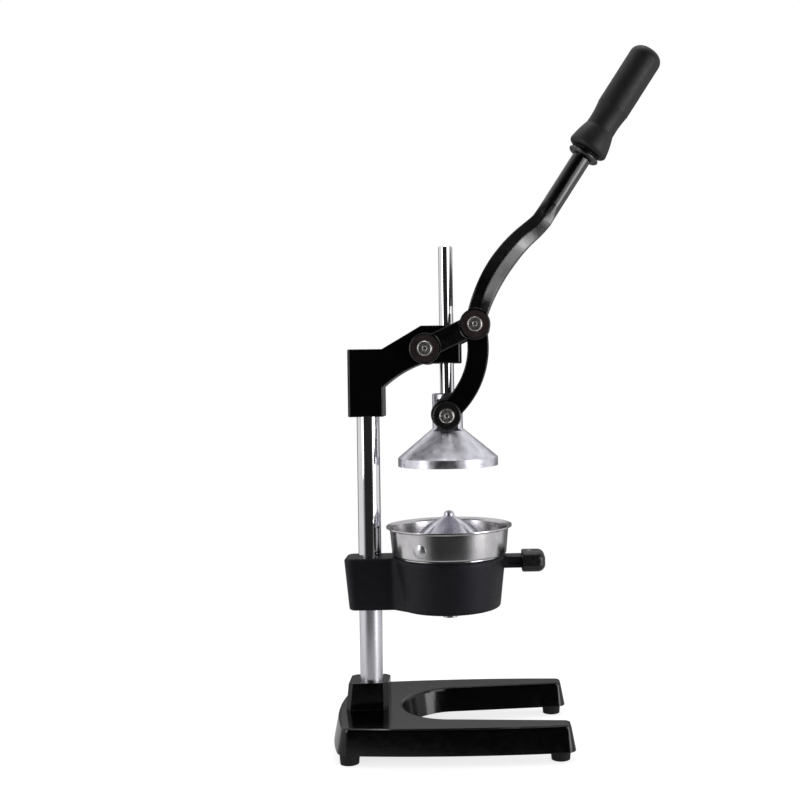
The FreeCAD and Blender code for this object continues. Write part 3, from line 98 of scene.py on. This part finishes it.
class Finish(Nodes):
    """One procedural material, with the nodes that vary its colour, gloss and surface."""

    def __init__(self, name, colour, roughness, metallic=0.0, **sockets):
        self.material = bpy.data.materials.new(name)
        self.material.use_nodes = True
        super().__init__(self.material.node_tree)
        self.shader = self.tree.nodes["Principled BSDF"]
        self.shader.inputs["Base Color"].default_value = (*colour, 1)
        self.shader.inputs["Roughness"].default_value = roughness
        self.shader.inputs["Metallic"].default_value = metallic
        for socket, value in sockets.items():
            self.shader.inputs[socket.replace("_", " ")].default_value = value
        self.place = self.node("ShaderNodeTexCoord").outputs["Object"]
        self.normal = None

    def noise(self, size, detail=3, stretch=(1, 1, 1), source=None):
        """Grains of about the given size in metres, drawn out by stretch."""
        mapping = self.node("ShaderNodeMapping")
        mapping.inputs["Scale"].default_value = [1 / (size * s) for s in stretch]
        self.join(source or self.place, mapping.inputs["Vector"])
        texture = self.node("ShaderNodeTexNoise")
        texture.inputs["Scale"].default_value = 1
        texture.inputs["Detail"].default_value = detail
        self.join(mapping.outputs[0], texture.inputs["Vector"])
        return texture.outputs["Fac"]

    def reach(self, axis, across):
        """Distance from a line through a place, measured along the directions marked with a one."""
        moved = self.node("ShaderNodeVectorMath", operation="SUBTRACT")
        moved.inputs[1].default_value = axis
        self.join(self.place, moved.inputs[0])
        flat = self.node("ShaderNodeVectorMath", operation="MULTIPLY")
        flat.inputs[1].default_value = across
        self.join(moved.outputs[0], flat.inputs[0])
        length = self.node("ShaderNodeVectorMath", operation="LENGTH")
        self.join(flat.outputs[0], length.inputs[0])
        return length.outputs["Value"]

    def height(self):
        """Height above the floor at rest."""
        parts = self.node("ShaderNodeSeparateXYZ")
        self.join(self.place, parts.inputs[0])
        return parts.outputs["Z"]

    def rings(self, axis, size, detail=2):
        """Tool marks that run round an upright axis: they change with radius and height only."""
        place = self.node("ShaderNodeCombineXYZ")
        self.join(self.reach(axis, ACROSS_UPRIGHT), place.inputs["X"])
        self.join(self.height(), place.inputs["Z"])
        return self.noise(size, detail, source=place.outputs[0])

    def spread(self, pattern, low, high):
        """Turns a noise into a value between low and high."""
        return self.ramp(pattern, NOISE_LOW, NOISE_HIGH, low, high, kind="LINEAR")

    def gloss(self, pattern, smooth, rough):
        """Varies the roughness with a noise."""
        self.join(self.spread(pattern, smooth, rough), self.shader.inputs["Roughness"])

    def tint(self, pattern, dark, light):
        """Varies the colour with a noise."""
        ramp = self.node("ShaderNodeValToRGB")
        first, last = ramp.color_ramp.elements
        first.position = NOISE_LOW
        last.position = NOISE_HIGH
        first.color = (*dark, 1)
        last.color = (*light, 1)
        self.join(pattern, ramp.inputs[0])
        self.join(ramp.outputs[0], self.shader.inputs["Base Color"])
        self.tinted = ramp.outputs[0]

    def cover(self, share, colour):
        """Lays another colour over the tint, fully where share is one."""
        mix = self.node("ShaderNodeMix", data_type="RGBA")
        mix.inputs["B"].default_value = (*colour, 1)
        self.join(share, mix.inputs["Factor"])
        self.join(self.tinted, mix.inputs["A"])
        self.join(mix.outputs["Result"], self.shader.inputs["Base Color"])

    def round_edges(self, radius):
        """Softens the look of sharp edges and remembers where they are."""
        bevel = self.node("ShaderNodeBevel", samples=BEVEL_SAMPLES)
        bevel.inputs["Radius"].default_value = radius
        self.normal = bevel.outputs[0]
        plain = self.node("ShaderNodeNewGeometry").outputs["Normal"]
        turn = self.node("ShaderNodeVectorMath", operation="DOT_PRODUCT")
        self.join(bevel.outputs[0], turn.inputs[0])
        self.join(plain, turn.inputs[1])
        self.edges = self.calculate("SUBTRACT", 1.0, turn.outputs["Value"])

    def wear_edges(self, colour, size, most):
        """Rubs the edges through to a paler colour, in patches."""
        patches = self.spread(self.noise(size), 0, most)
        clamp = self.node("ShaderNodeClamp")
        self.join(self.calculate("MULTIPLY", self.edges, patches), clamp.inputs[0])
        self.cover(clamp.outputs[0], colour)

    def bump(self, pattern, height, strength):
        """Raises the surface by up to height metres where the noise is high."""
        made = self.node("ShaderNodeBump")
        made.inputs["Strength"].default_value = strength
        made.inputs["Distance"].default_value = height
        self.join(pattern, made.inputs["Height"])
        if self.normal is not None:
            self.join(self.normal, made.inputs["Normal"])
        self.normal = made.outputs[0]
        self.join(self.normal, self.shader.inputs["Normal"])


def enamel(name, edge, shine, smooth=0.12, rough=0.24):
    """Glossy black paint over a sand casting: a fine skin over slow waves, rubbed paler at the edges."""
    made = Finish(name, colour=(0.0013, 0.0013, 0.0016), roughness=0.17, Specular_IOR_Level=shine)
    made.tint(made.noise(size=22 * MM), dark=(0.0008, 0.0008, 0.0011), light=(0.0018, 0.0018, 0.0022))
    made.gloss(made.noise(size=6 * MM, detail=4), smooth, rough)
    made.round_edges(edge)
    made.wear_edges(colour=(0.03, 0.03, 0.032), size=5 * MM, most=0.8)
    made.bump(made.noise(size=14 * MM, detail=2), height=0.08 * MM, strength=0.3)
    made.bump(made.noise(size=1.8 * MM, detail=2), height=0.045 * MM, strength=0.5)
    return made


def holder_paint():
    """Matt charcoal powder coat with a fine stipple."""
    made = Finish("holder_coat", colour=(0.0048, 0.0046, 0.0063), roughness=0.46,
                  Specular_IOR_Level=0.31, Specular_Tint=(0.87, 0.85, 1, 1))
    made.tint(made.noise(size=9 * MM, detail=4), dark=(0.0034, 0.0033, 0.0046), light=(0.0062, 0.006, 0.008))
    made.gloss(made.noise(size=2.5 * MM, detail=4), smooth=0.4, rough=0.56)
    made.round_edges(radius=6 * MM)
    made.wear_edges(colour=(0.04, 0.04, 0.043), size=4 * MM, most=0.5)
    made.bump(made.noise(size=12 * MM, detail=2), height=0.15 * MM, strength=0.4)
    made.bump(made.noise(size=0.8 * MM, detail=3), height=0.06 * MM, strength=0.9)
    return made


def rubber(name, dark, light, grain, smooth, rough):
    """Moulded rubber with a fine grain."""
    made = Finish(name, colour=light, roughness=0.7, Specular_IOR_Level=0.35)
    made.tint(made.noise(size=8 * MM, detail=5), dark, light)
    made.gloss(made.noise(size=3 * MM, detail=4), smooth, rough)
    made.round_edges(radius=0.7 * MM)
    made.bump(made.noise(size=grain, detail=3), height=0.06 * MM, strength=0.8)
    return made


def plastic():
    """Glossy black moulded plastic with slight sink marks and fine rubs."""
    made = Finish("black_plastic", colour=(0.008, 0.008, 0.009), roughness=0.3)
    made.tint(made.noise(size=10 * MM), dark=(0.006, 0.006, 0.007), light=(0.011, 0.011, 0.012))
    made.gloss(made.noise(size=2.5 * MM, detail=5), smooth=0.22, rough=0.4)
    made.round_edges(radius=0.8 * MM)
    made.bump(made.noise(size=9 * MM, detail=1), height=0.15 * MM, strength=0.4)
    made.bump(made.noise(size=0.7 * MM, detail=2), height=0.02 * MM, strength=0.6)
    return made


PAINTED_REFLECTION_BELOW = 118 * MM           # the chrome is dulled and tinted with a painted reflection below this height
PLAIN_CHROME_ABOVE = 150 * MM              # and plain above this one
LOW_COLUMN_DULLING = 0.25


def chrome():
    """Mirror chrome on ground bar: faint lengthwise grinding; below the bowl it is dulled and carries a
    lavender-grey painted reflection.
    """
    made = Finish("chrome", colour=(0.8, 0.8, 0.825), roughness=0.05, metallic=1.0)
    made.tint(made.noise(size=30 * MM, detail=4), dark=(0.76, 0.76, 0.79), light=(0.84, 0.84, 0.86))
    polish = made.spread(made.noise(size=7 * MM, detail=5, stretch=(1, 1, 4)), low=0.03, high=0.1)
    # Painted reflection: the colour laid on below the bowl stands in for the surroundings the lower column
    # reflects; the same share also raises its roughness.
    painted_reflection_share = made.ramp(made.height(), PAINTED_REFLECTION_BELOW, PLAIN_CHROME_ABOVE, low=1, high=0)
    made.cover(painted_reflection_share, colour=(0.73, 0.725, 0.775))
    dulling = made.calculate("MULTIPLY", painted_reflection_share, LOW_COLUMN_DULLING)
    made.join(made.calculate("ADD", polish, dulling), made.shader.inputs["Roughness"])
    grinding = made.noise(size=0.5 * MM, detail=3, stretch=(1, 1, 60))
    made.bump(grinding, height=0.006 * MM, strength=0.5)
    return made


def turned_aluminium():
    """Turned and lightly polished aluminium: rings of tool marks over a satin grain."""
    made = Finish("cast_aluminium", colour=(0.78, 0.775, 0.82), roughness=0.36, metallic=1.0,
                  Anisotropic=0.6, Anisotropic_Rotation=QUARTER_TURN)
    turning = made.rings(PRESS_AXIS, size=0.3 * MM)
    made.tint(made.noise(size=7 * MM, detail=6), dark=(0.65, 0.645, 0.715), light=(0.91, 0.905, 0.98))
    made.gloss(made.noise(size=6 * MM, detail=5), smooth=0.25, rough=0.45)
    made.round_edges(radius=0.5 * MM)
    made.bump(turning, height=0.004 * MM, strength=0.4)
    made.bump(made.noise(size=1.1 * MM, detail=4), height=0.03 * MM, strength=0.5)
    return made


def brushed_steel(name, dark, light, smooth, rough):
    """Spun stainless sheet: brushed round its axis, with soft smears from use."""
    made = Finish(name, colour=light, roughness=smooth, metallic=1.0,
                  Anisotropic=0.3, Anisotropic_Rotation=QUARTER_TURN)
    brushing = made.rings(PRESS_AXIS, size=0.25 * MM, detail=4)
    made.tint(made.noise(size=16 * MM, detail=4), dark, light)
    made.gloss(brushing, smooth, rough)
    made.round_edges(radius=0.4 * MM)
    made.bump(made.noise(size=20 * MM, detail=1), height=0.12 * MM, strength=0.3)
    made.bump(brushing, height=0.0015 * MM, strength=0.4)
    return made


def disc_finish(name, dark, light, smooth, rough, edge, shine):
    """Moulded resin washer: a slightly mottled colour with a fine grain."""
    made = Finish(name, colour=light, roughness=0.4, Specular_IOR_Level=shine)
    made.tint(made.noise(size=3.5 * MM, detail=4), dark, light)
    made.gloss(made.noise(size=1.6 * MM, detail=4), smooth, rough)
    made.round_edges(edge)
    made.bump(made.noise(size=0.9 * MM, detail=3), height=0.03 * MM, strength=0.7)
    return made


DISC_PIVOTS = [middle(node) for node in ("lever_pivot_discs", "knuckle_discs")]
RIM_START = 11.4 * MM
RIM_FULL = 12.1 * MM


def rimmed_disc():
    """Brown washer with a black rim."""
    made = disc_finish("pivot_disc", dark=(0.018, 0.0112, 0.0108), light=(0.034, 0.022, 0.0212),
                       smooth=0.3, rough=0.46, edge=0.5 * MM, shine=0.5)
    first, second = [made.reach(place, ACROSS_PIVOT) for place in DISC_PIVOTS]
    nearest = made.calculate("MINIMUM", first, second)
    rim = made.ramp(nearest, RIM_START, RIM_FULL, kind="LINEAR")
    made.cover(rim, colour=(0.002, 0.002, 0.002))
    return made


def fastener_steel():
    """Bright plated steel with fine scuffs."""
    made = Finish("fastener", colour=(0.8, 0.775, 0.75), roughness=0.3, metallic=1.0)
    made.tint(made.noise(size=2.5 * MM, detail=5), dark=(0.68, 0.65, 0.62), light=(0.9, 0.88, 0.85))
    made.gloss(made.noise(size=1.2 * MM, detail=5), smooth=0.2, rough=0.36)
    made.round_edges(radius=1.0 * MM)
    made.bump(made.noise(size=0.5 * MM, detail=3), height=0.02 * MM, strength=0.6)
    return made


def bronze():
    """Plain bearing bronze, dulled by oil."""
    made = Finish("bush_bronze", colour=(0.5, 0.34, 0.17), roughness=0.35, metallic=1.0)
    made.tint(made.noise(size=4 * MM, detail=4), dark=(0.42, 0.28, 0.13), light=(0.56, 0.39, 0.2))
    made.gloss(made.noise(size=1.5 * MM, detail=4), smooth=0.28, rough=0.45)
    made.bump(made.noise(size=0.5 * MM, detail=3), height=0.02 * MM, strength=0.5)
    return made


# The finish of each slot
FINISHES = {
    "black_enamel": enamel("black_enamel", edge=0.8 * MM, shine=0.34),
    "holder_coat": holder_paint(),
    "foot_rubber": rubber("foot_rubber", dark=(0.004, 0.004, 0.004), light=(0.008, 0.008, 0.008),
                          grain=0.9 * MM, smooth=0.55, rough=0.78),
    "grip_rubber": rubber("grip_rubber", dark=(0.009, 0.009, 0.0105), light=(0.012, 0.012, 0.014),
                          grain=1.1 * MM, smooth=0.44, rough=0.54),
    "black_plastic": plastic(),
    "chrome": chrome(),
    "cast_aluminium": turned_aluminium(),
    "stainless": brushed_steel("stainless", dark=(0.5, 0.49, 0.515), light=(0.64, 0.625, 0.63),
                               smooth=0.16, rough=0.23),
    "pivot_disc": rimmed_disc(),
    "press_disc": disc_finish("press_disc", dark=(0.003, 0.003, 0.003), light=(0.006, 0.0055, 0.0055),
                              smooth=0.22, rough=0.34, edge=2.6 * MM, shine=0.9),
    "fastener": fastener_steel(),
    "bush_bronze": bronze(),
}

# Pieces with an enamel of their own
base_enamel = enamel("base_enamel", edge=0.8 * MM, shine=0.42, smooth=0.1, rough=0.18)
lever_enamel = enamel("lever_enamel", edge=2.4 * MM, shine=0.9)
OWN_FINISHES = {"base": base_enamel, "lever": lever_enamel, "grip_collar": lever_enamel}

for name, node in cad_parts.items():
    for slot in node.material_slots:
        finish = OWN_FINISHES.get(name) or FINISHES[slot.material.name]
        slot.material = finish.material


# The strainer's dimple, pressed out of its wall

PIP_SIDE = math.radians(27.8)       # round the cup, from straight in front towards the column
PIP_HEIGHT = 170 * MM
PIP_RADIUS = 6.4 * MM
PIP_RISE = 1.8 * MM
PIP_SINK = 0.15 * MM                # how far its edge lies inside the wall
PIP_BACK = 0.5 * MM                 # and the middle of its hidden back
PIP_RINGS = 10
PIP_STEPS = 40
OUTSIDE = 80 * MM                   # a distance from the axis that is clear of the wall


def make_pip():
    """A low dome that follows the strainer's wall."""
    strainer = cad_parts["strainer_cup"]
    outward = Vector((-math.sin(PIP_SIDE), -math.cos(PIP_SIDE), 0))
    along = Vector((math.cos(PIP_SIDE), -math.sin(PIP_SIDE), 0))
    start = Vector((PRESS_AXIS.x, PRESS_AXIS.y, PIP_HEIGHT)) + outward * OUTSIDE
    mesh = bpy.data.meshes.new("strainer_pip")
    shape = bmesh.new()
    rings = []

    def on_wall(across, rise):
        found, place, _, _ = strainer.ray_cast(start + across, -outward)
        if not found:
            raise RuntimeError("the dimple misses the strainer's wall")
        return shape.verts.new(place + outward * rise)

    for i in range(PIP_RINGS + 1):
        share = i / PIP_RINGS
        rise = PIP_RISE * (1 - share * share) - PIP_SINK
        ring = []
        for k in range(PIP_STEPS if i else 1):
            turn = 2 * math.pi * k / PIP_STEPS
            side = along * math.cos(turn) + Vector((0, 0, math.sin(turn)))
            ring.append(on_wall(side * share * PIP_RADIUS, rise))
        rings.append(ring)
    back = on_wall(Vector(), -PIP_BACK)
    for k in range(PIP_STEPS):
        after = (k + 1) % PIP_STEPS
        shape.faces.new((rings[0][0], rings[1][k], rings[1][after])).smooth = True
        for inner, outer in zip(rings[1:], rings[2:]):
            shape.faces.new((inner[k], outer[k], outer[after], inner[after])).smooth = True
        shape.faces.new((back, rings[-1][after], rings[-1][k]))
    bmesh.ops.recalc_face_normals(shape, faces=shape.faces)
    shape.to_mesh(mesh)
    shape.free()
    pip = bpy.data.objects.new("strainer_pip", mesh)
    bpy.context.scene.collection.objects.link(pip)
    # Painted light: a paler, rougher copy of the stainless, so the dimple looks lighter than the wall it is
    # pressed from.
    steel = brushed_steel("dimple_steel_painted_light", dark=(0.6, 0.595, 0.61), light=(0.72, 0.715, 0.73),
                          smooth=0.3, rough=0.38)
    mesh.materials.append(steel.material)
    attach(pip, "stand")


make_pip()


# Floor, light and camera

FLOOR_RADIUS = 0.95
FLOOR_SEGMENTS = 96
FADE_MIDDLE = (0, 0.05, 0)
FADE_START = 0.34
FADE_END = 0.48
FLOOR_GLOW = 0.78                   # as the camera sees it
FLOOR_SPILL = 0.22                  # as it lights the object


def make_floor():
    """A pale round floor whose rim fades into the white surround."""
    ring = []
    for i in range(FLOOR_SEGMENTS):
        turn = 2 * math.pi * i / FLOOR_SEGMENTS
        ring.append((FLOOR_RADIUS * math.cos(turn), FLOOR_RADIUS * math.sin(turn), 0))
    mesh = bpy.data.meshes.new("floor")
    mesh.from_pydata(ring, [], [list(range(FLOOR_SEGMENTS))])
    floor = bpy.data.objects.new("floor", mesh)
    bpy.context.scene.collection.objects.link(floor)
    paper = Finish("floor_paper", colour=(0.45, 0.45, 0.45), roughness=0.6, Emission_Color=WHITE)
    seen = paper.node("ShaderNodeLightPath").outputs["Is Camera Ray"]
    extra = paper.calculate("MULTIPLY", seen, FLOOR_GLOW - FLOOR_SPILL)
    glow = paper.calculate("ADD", FLOOR_SPILL, extra)
    paper.join(glow, paper.shader.inputs["Emission Strength"])
    paper.tint(paper.noise(size=300 * MM, detail=2), dark=(0.44, 0.44, 0.44), light=(0.46, 0.46, 0.46))
    fade = paper.ramp(paper.reach(FADE_MIDDLE, ACROSS_UPRIGHT), FADE_START, FADE_END)
    clear = paper.node("ShaderNodeBsdfTransparent")
    mix = paper.node("ShaderNodeMixShader")
    paper.join(fade, mix.inputs[0])
    paper.join(paper.shader.outputs[0], mix.inputs[1])
    paper.join(clear.outputs[0], mix.inputs[2])
    paper.join(mix.outputs[0], paper.tree.nodes["Material Output"].inputs["Surface"])
    mesh.materials.append(paper.material)


def make_surround():
    """White all round for the camera. As light it is dark in front, and dimmer overhead and low behind."""
    world = bpy.data.worlds.new("studio")
    world.use_nodes = True
    studio = Nodes(world.node_tree)

    def times(first, second):
        return studio.calculate("MULTIPLY", first, second)

    white = studio.tree.nodes["Background"]
    white.inputs["Color"].default_value = WHITE
    place = studio.node("ShaderNodeTexCoord")
    parts = studio.node("ShaderNodeSeparateXYZ")
    studio.join(place.outputs["Generated"], parts.inputs[0])
    back = parts.outputs["Y"]
    height = parts.outputs["Z"]
    walls = studio.ramp(back, start=-0.85, end=-0.4, low=0.02, high=0.8)
    in_front = studio.ramp(back, start=-0.5, end=0.1, low=1, high=0)
    above = studio.ramp(height, start=0.15, end=0.45)
    behind = studio.ramp(back, start=0.45, end=0.85)
    below = studio.ramp(height, start=0.2, end=0.45, low=1, high=0)
    front_ceiling = studio.ramp(times(in_front, above), start=0, end=1, low=1, high=0.15)
    low_backdrop = studio.ramp(times(behind, below), start=0, end=1, low=1, high=0.22)
    zenith = studio.ramp(height, start=0.75, end=0.97, low=1, high=0.6)
    shade = times(front_ceiling, low_backdrop)
    light = studio.node("ShaderNodeBackground")
    light.inputs["Color"].default_value = WHITE
    studio.join(times(times(walls, shade), zenith), light.inputs["Strength"])
    path = studio.node("ShaderNodeLightPath")
    mix = studio.node("ShaderNodeMixShader")
    studio.join(path.outputs["Is Camera Ray"], mix.inputs[0])
    studio.join(light.outputs[0], mix.inputs[1])
    studio.join(white.outputs[0], mix.inputs[2])
    studio.join(mix.outputs[0], studio.tree.nodes["World Output"].inputs["Surface"])
    bpy.context.scene.world = world


def make_softbox(name, place, target, wide, tall, power):
    """A rectangular light that faces its target."""
    lamp = bpy.data.lights.new(name, "AREA")
    lamp.shape = "RECTANGLE"
    lamp.size = wide
    lamp.size_y = tall
    lamp.energy = power
    box = bpy.data.objects.new(name, lamp)
    box.location = place
    box.rotation_euler = (Vector(target) - Vector(place)).to_track_quat("-Z", "Y").to_euler()
    bpy.context.scene.collection.objects.link(box)


LIGHT_TARGET = (-0.03, 0, 0.28)
STRIP_APART = 0.2                   # each strip's distance from the press, to its side
STRIP_BACK = 0.27
STRIP_HEIGHT = 1.5

make_floor()
make_surround()
make_softbox("softbox_left", place=(-1.1, -0.75, 0.6), target=LIGHT_TARGET, wide=0.35, tall=1.0, power=4)
make_softbox("softbox_right", place=(1.12, -0.65, 0.2), target=LIGHT_TARGET, wide=0.6, tall=0.6, power=4.8)
make_softbox("softbox_front", place=(0.82, -0.86, 0.54), target=LIGHT_TARGET, wide=0.75, tall=0.5, power=2.6)
make_softbox("softbox_top", place=(0.05, 0.1, 1.6), target=LIGHT_TARGET, wide=1.0, tall=1.0, power=3)
for label, side in (("right", 1), ("left", -1)):
    strip_place = (PRESS_AXIS.x + side * STRIP_APART, STRIP_BACK, STRIP_HEIGHT)
    make_softbox("strip_" + label, strip_place, target=PRESS_AXIS, wide=0.05, tall=0.4, power=0.6)

# The camera, from the object's own edges in the picture
IMAGE_SIDE = 800
SENSOR = 36.0
FOCAL_PIXELS = 1075.39
CENTRE_RIGHT = 103.04
CENTRE_UP = 21.03
CAMERA_PLACE = Vector((-0.015065, -0.94968, 0.31512))
CAMERA_YAW = 0.02
CAMERA_PITCH = -0.0009
CAMERA_ROLL = -0.0144


def make_camera():
    """Looks at the front of the press, with a shifted lens: the picture's middle is off the lens's axis."""
    ahead = math.cos(CAMERA_PITCH)
    forward = Vector((math.sin(CAMERA_YAW) * ahead, math.cos(CAMERA_YAW) * ahead, math.sin(CAMERA_PITCH)))
    level_right = Vector((math.cos(CAMERA_YAW), -math.sin(CAMERA_YAW), 0))
    level_up = level_right.cross(forward)
    right = math.cos(CAMERA_ROLL) * level_right + math.sin(CAMERA_ROLL) * level_up
    up = right.cross(forward)
    data = bpy.data.cameras.new("camera")
    data.sensor_width = SENSOR
    data.lens = FOCAL_PIXELS / IMAGE_SIDE * SENSOR
    data.shift_x = -CENTRE_RIGHT / IMAGE_SIDE
    data.shift_y = -CENTRE_UP / IMAGE_SIDE
    camera = bpy.data.objects.new("camera", data)
    turn = Matrix((right, up, -forward)).transposed()
    camera.matrix_world = Matrix.Translation(CAMERA_PLACE) @ turn.to_4x4()
    bpy.context.scene.collection.objects.link(camera)
    bpy.context.scene.camera = camera


make_camera()
bpy.context.scene.view_settings.view_transform = "Standard"
